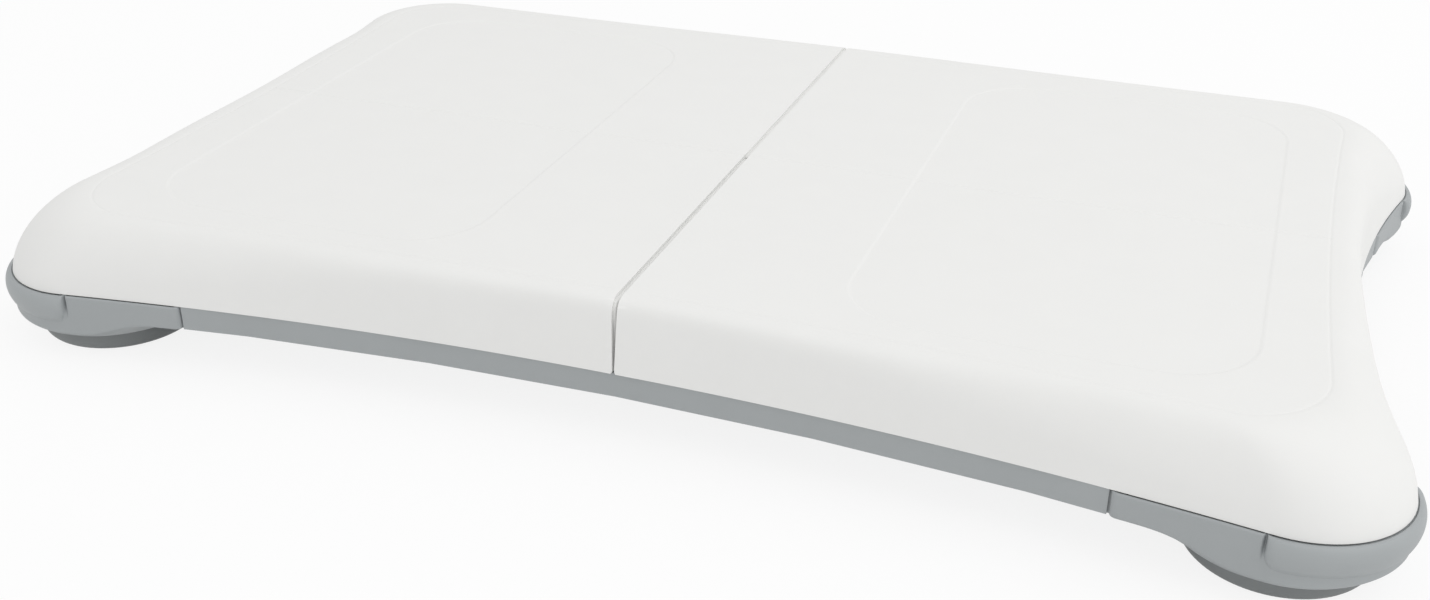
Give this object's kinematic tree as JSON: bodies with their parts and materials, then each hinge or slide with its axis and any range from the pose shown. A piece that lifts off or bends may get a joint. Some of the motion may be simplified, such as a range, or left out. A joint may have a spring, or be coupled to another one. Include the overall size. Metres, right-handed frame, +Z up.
{
  "type": "game console balance board",
  "caption": "Low platform to stand on: two white covers with a seam between them on a grey base with round, load-sensing feet, a battery bay and a power button.",
  "frame": {"origin": "on the floor, under the middle of the board", "axes": "+X along the board to the right as the user faces it from the concave long edge, +Y across the board towards the straight edge with the power button, +Z up"},
  "size_m": [0.511, 0.316, 0.0532],
  "materials": {
    "cover": "fine satin grain, off-white",
    "grey_plastic": "fine grain, cool grey",
    "foot_plastic": "fine grain, darker grey",
    "rubber": "matt",
    "steel": "plain pressed steel",
    "spring_steel": "bright plated strip",
    "tin": "tinned sheet",
    "aluminium": "milled",
    "circuit": "green solder mask",
    "black_plastic": "moulded black",
    "battery": "lacquered can, dark blue",
    "red_plastic": "moulded red",
    "light_guide": "clear, faintly blue",
    "lead": "flexible sleeve"
  },
  "bodies": {
    "board": {"top_cover_left": "cover", "top_cover_right": "cover", "base_shell": "grey_plastic", "corner_leg_front_left": "grey_plastic", "corner_leg_front_right": "grey_plastic", "corner_leg_rear_left": "grey_plastic", "corner_leg_rear_right": "grey_plastic", "load_plate": "steel", "leg_screw_front_left": "steel", "leg_screw_front_right": "steel", "leg_screw_rear_left": "steel", "leg_screw_rear_right": "steel", "base_screw_front_left": "steel", "base_screw_front_right": "steel", "base_screw_rear_left": "steel", "base_screw_rear_right": "steel", "cover_screw_front_left": "steel", "cover_screw_front_right": "steel", "cover_screw_rear_left": "steel", "cover_screw_rear_right": "steel", "contact_plus": "spring_steel", "contact_link_near": "spring_steel", "contact_link_middle": "spring_steel", "contact_link_far": "spring_steel", "contact_minus": "spring_steel", "radio_module": "tin", "load_cell_front_left": "aluminium", "load_cell_front_right": "aluminium", "load_cell_rear_left": "aluminium", "load_cell_rear_right": "aluminium", "main_board": "circuit", "button_board": "circuit", "power_switch": "black_plastic", "sync_switch": "black_plastic", "battery_1": "battery", "battery_2": "battery", "battery_3": "battery", "battery_4": "battery", "sensor_lead_front_left": "lead", "sensor_lead_front_right": "lead", "sensor_lead_rear_left": "lead", "sensor_lead_rear_right": "lead", "battery_lead_plus": "lead", "battery_lead_minus": "lead"},
    "foot_body_front_left": {"foot_front_left": "foot_plastic", "foot_pad_front_left": "rubber", "foot_stud_front_left": "steel"},
    "foot_body_front_right": {"foot_front_right": "foot_plastic", "foot_pad_front_right": "rubber", "foot_stud_front_right": "steel"},
    "foot_body_rear_left": {"foot_rear_left": "foot_plastic", "foot_pad_rear_left": "rubber", "foot_stud_rear_left": "steel"},
    "foot_body_rear_right": {"foot_rear_right": "foot_plastic", "foot_pad_rear_right": "rubber", "foot_stud_rear_right": "steel"},
    "power_button_body": {"power_button": "grey_plastic", "power_light_guide": "light_guide"},
    "sync_button_body": {"sync_button": "red_plastic"},
    "battery_door_body": {"battery_door": "grey_plastic"}
  },
  "joints": [
    {"name": "foot_travel_front_left", "type": "slide", "parent": "board", "child": "foot_body_front_left", "axis": [0, 0, 1], "range_m": [0, 0.0005], "stiffness_N_per_m": 3000, "springref_m": -0.005},
    {"name": "foot_travel_front_right", "type": "slide", "parent": "board", "child": "foot_body_front_right", "axis": [0, 0, 1], "range_m": [0, 0.0005], "stiffness_N_per_m": 3000, "springref_m": -0.005},
    {"name": "foot_travel_rear_left", "type": "slide", "parent": "board", "child": "foot_body_rear_left", "axis": [0, 0, 1], "range_m": [0, 0.0005], "stiffness_N_per_m": 3000, "springref_m": -0.005},
    {"name": "foot_travel_rear_right", "type": "slide", "parent": "board", "child": "foot_body_rear_right", "axis": [0, 0, 1], "range_m": [0, 0.0005], "stiffness_N_per_m": 3000, "springref_m": -0.005},
    {"name": "power_press", "type": "slide", "parent": "board", "child": "power_button_body", "axis": [0, -1, 0], "range_m": [0, 0.0005], "stiffness_N_per_m": 60, "springref_m": -0.0005},
    {"name": "sync_press", "type": "slide", "parent": "board", "child": "sync_button_body", "axis": [0, 0, 1], "range_m": [0, 0.0005], "stiffness_N_per_m": 20, "springref_m": -0.0005},
    {"name": "battery_door_swing", "type": "hinge", "parent": "board", "child": "battery_door_body", "pos_m": [0, 0.09385, 0.0173], "axis": [1, 0, 0], "range_deg": [0, 70]}
  ]
}
